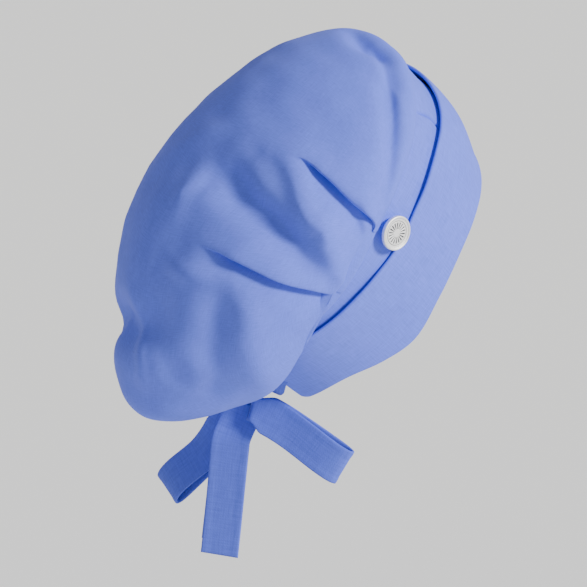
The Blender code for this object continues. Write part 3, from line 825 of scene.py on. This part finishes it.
def make_button(sizes, metal):
    """A struck button turned about its axis: a dished face with rays and a ring, a raised rim,
    a rounded edge, a flat back and a shank. Rays are a cosine round the axis, cut at both ends."""
    radius = sizes.button_diameter / 2
    shank = CUFF_WALL + CUFF_STAND_OFF
    front, edge = shank + BUTTON_THICKNESS, BUTTON_EDGE
    face_radius = radius - BUTTON_RIM
    face_rows = np.linspace(0, face_radius, 44)
    profile = [(r, front - BUTTON_DISH) for r in face_rows]
    bend = np.linspace(0, pi / 2, 6)
    profile += [(face_radius + RIM_STEP * sin(a), front - BUTTON_DISH * cos(a)) for a in bend[1:]]
    profile += [(radius - edge + edge * sin(a), front - edge + edge * cos(a)) for a in bend]
    profile += [(radius - edge + edge * cos(a), shank + edge - edge * sin(a)) for a in bend]
    profile += [(SHANK_COLLAR, shank), (SHANK_RADIUS, shank - COLLAR_DROP), (SHANK_RADIUS, 0.0), (0.0, 0.0)]
    profile = np.array(profile)
    turn = np.linspace(0, 2 * pi, 241)
    across, turns = np.meshgrid(profile[:, 0], turn, indexing="ij")
    share = across / radius
    on_face = (np.arange(len(profile)) < len(face_rows))[:, None]
    rays = smooth_step(-0.05, 0.45, np.cos(RAY_COUNT * turns)) * smooth_step(*RAYS_START, share)
    rays = rays * (1 - smooth_step(*RAYS_END, share))
    ring = np.exp(-((share - RING_AT) / RING_REACH) ** 2)
    cut = on_face * np.maximum(rays, ring)
    height = profile[:, 1:] - GROOVE_DEPTH * cut
    angle = radians(BUTTON_ANGLE)
    half_length, half_width = half_seam(sizes)
    foot = place(half_length * cos(angle), half_width * sin(angle), BUTTON_RISE)
    outward = unit(place(cos(angle) / half_length, sin(angle) / half_width, 0.0))
    upward = unit(RISE - np.dot(RISE, outward) * outward)
    sideways = np.cross(upward, outward)
    points = (foot + outward * FIT_GAP
              + (across * np.cos(turns))[..., None] * sideways
              + (across * np.sin(turns))[..., None] * upward + height[..., None] * outward)
    index = ball_index(*across.shape)
    faces = []
    for corners in grid_faces(index, flip=True, pole=True):
        faces += index.reshape(-1)[corners].tolist()
    faces = [list(dict.fromkeys(face)) for face in faces]
    used, faces = compact(faces)
    button = mesh_object("cap_button", points.reshape(-1, 3)[used], faces, metal)
    groove = button.data.attributes.new("engraving", "FLOAT", "POINT")
    groove.data.foreach_set("value", np.broadcast_to(cut, across.shape).reshape(-1)[used].astype(np.float32))
    return button


def tie_wall(name, middle, across, widths, finish, columns=18):
    """A tie: a strip along a middle line, its edges turned and pressed, so it is a little thicker there.
    Rows run along the line and columns across it."""
    along = unit(np.gradient(middle, axis=0))
    across = unit(across - (across * along).sum(-1, keepdims=True) * along)
    s = 2 * dense_ends(columns, END_CROWD) - 1
    surface = middle[:, None] + (widths / 2)[:, None, None] * s[None, :, None] * across[:, None]
    normal = unit(np.cross(np.gradient(surface, axis=0), np.gradient(surface, axis=1)))
    run = run_length(middle)
    from_side = (1 - np.abs(s))[None, :] * (widths / 2)[:, None]
    from_end = np.minimum(run, run[-1] - run)[:, None]
    hem = 1 + HEM_EXTRA * (1 - smooth_step(*HEM_WIDTH, from_side))
    half = TIE_WALL / 2 * hem * edge_round(np.minimum(from_side, from_end), TIE_WALL / 2)
    uv = np.stack([s[None, :] * (widths / 2)[:, None], run[:, None] + 0 * s[None, :]], axis=-1)
    return wall_object(name, surface, normal, half, uv, finish)


def gathered(sizes, share):
    """A tie's width along its length, drawn together where it enters the knot."""
    return sizes.tie_width * (GATHERED + (1 - GATHERED) * smooth_step(0, GATHER_END, share))


def make_strap(sizes, name, hand, finish):
    """A strap from the band's rear end to the knot's side, round the nape."""
    inset = CUFF_WALL + CUFF_STAND_OFF + BAND_WALL / 2
    t = np.linspace(0, 1, 40)
    knot_below = KNOT_AT * sizes.cuff_height
    strap_below = STRAP_AT * sizes.cuff_height
    drawn_in = CUFF_DRAW_IN * KNOT_AT
    last = pi - asin(STRAP_END / (half_ring(sizes)[1] - inset - drawn_in))
    first = radians(CUFF_END) - STRAP_OVERLAP
    angle = first + (last - first) * t
    rise = -strap_below + (strap_below - knot_below) * smooth_step(0, 1, t)
    inset = inset - STRAP_OUT + 0 * t
    middle = band_surface(sizes, angle * hand, rise, inset)
    across = np.repeat(RISE[None], len(t), axis=0)
    return tie_wall(name, middle, across * hand, gathered(sizes, 1 - t), finish)


def make_loop(sizes, name, reach, face, droop, finish):
    """A bow loop: out from the knot's side, round a narrow tip and back beside itself.
    It droops most a third of the way out."""
    reach = np.array(reach)
    hand = 1.0 if reach[0] > 0 else -1.0
    root = knot_centre() + LOOP_ROOT * np.array([hand, 1, 1]) + ROOT_DROP
    reach = reach - ROOT_DROP
    out = unit(reach)
    face = unit(np.asarray(face) - np.dot(face, out) * out)
    across = np.cross(face, out)
    t = np.linspace(0, 1, 110)
    t = t - LOOP_CROWD * np.sin(4 * pi * t) / 2
    length = np.linalg.norm(reach) * np.sin(pi * t) ** LOOP_BLUNT
    lift = -(LOOP_OPEN * np.sin(pi * t) ** 2 + LOOP_LAYER) * np.cos(pi * t)
    out_share = length / np.linalg.norm(reach)
    sag = droop * 27 / 4 * out_share * (1 - out_share) ** 2
    middle = root + length[:, None] * out + lift[:, None] * face - np.outer(sag, [0, 0, 1])
    flat = unit(across * [0, 1, 1])
    twist = smooth_step(0, LOOP_TWIST, np.sin(pi * t))[:, None]
    widths = gathered(sizes, np.sin(pi * t))
    return tie_wall(name, middle, unit(flat + (across - flat) * twist), widths, finish)


def make_tail(sizes, name, behind, shorter, finish):
    """A tail that hangs from the knot's underside to a plain square end."""
    turn = radians(TAIL_FACING)
    face = np.array([sin(turn), -cos(turn), 0.0])
    across = np.array([cos(turn), sin(turn), 0.0])
    top = knot_centre() + TAIL_TOP
    t = np.linspace(0, 1, 90)
    drop = (sizes.tail_length - shorter) * t
    back = TAIL_SET_BACK * smooth_step(0, TAIL_TURN, t) + TAIL_LEAN * t
    middle = top + np.outer(back, [0, 1, 0]) - np.outer(drop, [0, 0, 1])
    middle = middle - behind * face + np.outer(TAIL_WAVE * np.sin(7 * t + 40 * behind), face)
    start, faster = TAIL_FULLER
    widths = gathered(sizes, start + faster * t)
    return tie_wall(name, middle, np.repeat(across[None], len(t), axis=0), widths, finish)


def boxy(value):
    """A sine or cosine flattened towards its ends, which squares off a ball."""
    return np.sign(value) * np.abs(value) ** KNOT_SQUARE


def make_knot(finish):
    """The knot: a rounded lump with the ribbon's wraps as ridges that slant round it."""
    low, high = (np.array(corner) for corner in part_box("tie_knot"))
    centre, half = (low + high) / 2, (high - low) / 2
    up = np.linspace(-pi / 2, pi / 2, 61)
    turn = np.linspace(-pi, pi, 121)
    ups, turns = np.meshgrid(up, turn, indexing="ij")
    shape = np.stack([-boxy(np.cos(ups)) * boxy(np.sin(turns)),
                      -boxy(np.cos(ups)) * boxy(np.cos(turns)), boxy(np.sin(ups))], axis=-1)
    wraps = WRAP_RISE * np.abs(np.sin(WRAP_COUNT * ups + WRAP_SLANT * np.sin(turns))) ** 0.5
    wraps = wraps + KNOT_LUMPS * np.sin(5 * turns)
    points = centre + half * shape * (KNOT_CORE + wraps * np.cos(ups))[..., None]
    index = ball_index(*ups.shape)
    uv = np.stack([turns * half[0], ups * half[2]], axis=-1).reshape(-1, 2)
    faces, corner_uv = [], []
    for corners in grid_faces(index):
        for quad, place_uv in zip(index.reshape(-1)[corners].tolist(), uv[corners]):
            kept = [k for k in range(4) if quad[k] != quad[k - 1]]
            faces.append([quad[k] for k in kept])
            corner_uv.append(place_uv[kept])
    used, faces = compact(faces)
    return mesh_object("cap_tie_knot", points.reshape(-1, 3)[used], faces, finish, np.vstack(corner_uv))


class CapStep:
    """What the steps share: each makes its pieces from the scene's settings."""

    def execute(self, context):
        self.make(context.scene)
        return {"FINISHED"}


class CAP_OT_crown(CapStep, bpy.types.Operator):
    """Make the pleated crown"""

    bl_idname = "cap.crown"
    bl_label = "Crown"

    def make(self, scene):
        crown = make_crown(scene.cap_sizes, cloth_finish("cotton_body"))
        finish_piece(crown, "crown")


class CAP_OT_band(CapStep, bpy.types.Operator):
    """Make the band behind the cuff"""

    bl_idname = "cap.band"
    bl_label = "Inner band"

    def make(self, scene):
        sizes = scene.cap_sizes
        inset = CUFF_WALL + CUFF_STAND_OFF
        band = band_wall("cap_band", sizes, inset, BAND_EDGE_BACK, True, BAND_WALL,
                         cloth_finish("cotton_body"), rows=100)
        finish_piece(band, "inner_band")


class CAP_OT_cuff(CapStep, bpy.types.Operator):
    """Make the turned-up cuff"""

    bl_idname = "cap.cuff"
    bl_label = "Cuff"

    def make(self, scene):
        cuff = band_wall("cap_cuff", scene.cap_sizes, 0.0, 0.0, False, CUFF_WALL,
                         cloth_finish("cotton_body"))
        finish_piece(cuff, "cuff")


class CAP_OT_button(CapStep, bpy.types.Operator):
    """Make the metal side button"""

    bl_idname = "cap.button"
    bl_label = "Button"

    def make(self, scene):
        colours = scene.cap_colours
        metal = nickel_plate("nickel_plate", tuple(colours.metal), tuple(colours.engraving))
        finish_piece(make_button(scene.cap_sizes, metal), "button")


class CAP_OT_ties(CapStep, bpy.types.Operator):
    """Make the knot, the straps, the loops and the tails"""

    bl_idname = "cap.ties"
    bl_label = "Ties"

    def make(self, scene):
        sizes = scene.cap_sizes
        # Their cloth is darker than the body's: painted shade
        finish = cloth_finish("cotton_ties_painted_shade")
        knot = finish_piece(make_knot(finish), "tie_knot")
        for side, hand in (("right", 1), ("left", -1)):
            strap = make_strap(sizes, f"cap_strap_{side}", hand, finish)
            finish_piece(strap, f"nape_strap_{side}")
        for side, reach, face, droop, length in LOOP_ROWS:
            loop = make_loop(sizes, f"cap_loop_{side}", reach, face, droop, finish)
            finish_piece(loop, f"tie_loop_{side}")
        for side, behind, shorter in TAIL_ROWS:
            tail = make_tail(sizes, f"cap_tail_{side}", behind, shorter, finish)
            finish_piece(tail, f"tie_tail_{side}")


# Stage


def camera_frame(azimuth, elevation):
    """The camera's right, up and backward directions."""
    back = np.array([sin(azimuth) * cos(elevation), -cos(azimuth) * cos(elevation), sin(elevation)])
    right = np.array([cos(azimuth), sin(azimuth), 0.0])
    return right, np.cross(back, right), back


def soft_sun(name, towards, strength, spread, colour):
    """A distant light that shines from the direction given, softened by its angular size."""
    data = bpy.data.lights.new(name, "SUN")
    data.energy = strength
    data.angle = spread
    data.color = colour
    lamp = bpy.data.objects.new(name, data)
    bpy.context.scene.collection.objects.link(lamp)
    lamp.rotation_euler = Vector(towards).to_track_quat("Z", "Y").to_euler()
    return lamp


def studio_floor(colour, side, height):
    """Painted plaster floor, rolled on: pale, matt, with a faint mottle from the roller."""
    made, tree, shader = new_material("painted_floor")
    shader.inputs["Roughness"].default_value = 0.9
    where = add(tree, "TexCoord").outputs["Object"]
    mottle = add(tree, "TexNoise", {"Vector": where, "Scale": 3.0}).outputs["Fac"]
    tint = add(tree, "Mix", {"Factor": mottle, "A": (*(0.99 * v for v in colour), 1),
                             "B": (*colour, 1)}, data_type="RGBA")
    tree.links.new(tint.outputs["Result"], shader.inputs["Base Color"])
    corners = np.array([(-1, -1), (1, -1), (1, 1), (-1, 1)]) * side / 2
    floor = mesh_object("studio_floor", np.column_stack([corners, np.full(4, height)]), [(0, 1, 2, 3)], made)
    return floor


class CAP_OT_stage(CapStep, bpy.types.Operator):
    """Make the floor, the lights and the camera"""

    bl_idname = "cap.stage"
    bl_label = "Stage"

    def make(self, scene):
        stage = scene.cap_stage
        right, up, back = camera_frame(stage.azimuth, stage.elevation)
        per_pixel = stage.distance * SENSOR / stage.lens / PHOTO_SIDE
        off = (ORIGIN_PIXEL - PHOTO_SIDE / 2) * per_pixel
        target = -off[0] * right + off[1] * up
        data = bpy.data.cameras.new("photo_camera")
        data.lens = stage.lens
        data.sensor_width = SENSOR
        camera = bpy.data.objects.new("photo_camera", data)
        scene.collection.objects.link(camera)
        turn = Matrix((right, up, back)).transposed().to_4x4()
        camera.matrix_world = Matrix.Translation(target + back * stage.distance) @ turn
        scene.camera = camera
        studio_floor(linear(FLOOR_COLOUR), FLOOR_SIDE, CAD_BOX[0][2] - stage.floor_drop)
        key = KEY_TOWARDS @ np.array([right, up, back])
        soft_sun("key", key, *KEY_SUN)
        soft_sun("top", TOP_TOWARDS, *TOP_SUN)
        world = scene.world or bpy.data.worlds.new("studio")
        scene.world = world
        world.use_nodes = True
        sky = world.node_tree.nodes["Background"]
        sky.inputs["Color"].default_value = (1.0, 1.0, 1.0, 1.0)
        sky.inputs["Strength"].default_value = SKY_STRENGTH


class CAP_PT_panel(bpy.types.Panel):
    """The cap's steps, in the order they are run"""

    bl_idname = "CAP_PT_panel"
    bl_label = "Tie-back cap"
    bl_space_type = "VIEW_3D"
    bl_region_type = "UI"
    bl_category = "Cap"

    def draw(self, context):
        for step in STEPS:
            self.layout.operator(step.bl_idname)
        for group in (context.scene.cap_sizes, context.scene.cap_colours):
            for name in group.__annotations__:
                self.layout.prop(group, name)


STEPS = (CAP_OT_stage, CAP_OT_crown, CAP_OT_band, CAP_OT_cuff, CAP_OT_button, CAP_OT_ties)
GROUPS = {"cap_sizes": CapSizes, "cap_colours": CapColours, "cap_stage": StageSizes}
CLASSES = (*GROUPS.values(), *STEPS, CAP_PT_panel)


def register():
    for made in CLASSES:
        bpy.utils.register_class(made)
    for name, group in GROUPS.items():
        setattr(bpy.types.Scene, name, PointerProperty(type=group))


def unregister():
    for name in GROUPS:
        delattr(bpy.types.Scene, name)
    for made in reversed(CLASSES):
        bpy.utils.unregister_class(made)


def main():
    register()
    bpy.ops.cap.stage()
    bpy.ops.cap.band()
    bpy.ops.cap.crown()
    bpy.ops.cap.cuff()
    bpy.ops.cap.button()
    bpy.ops.cap.ties()


if __name__ == "__main__":
    main()
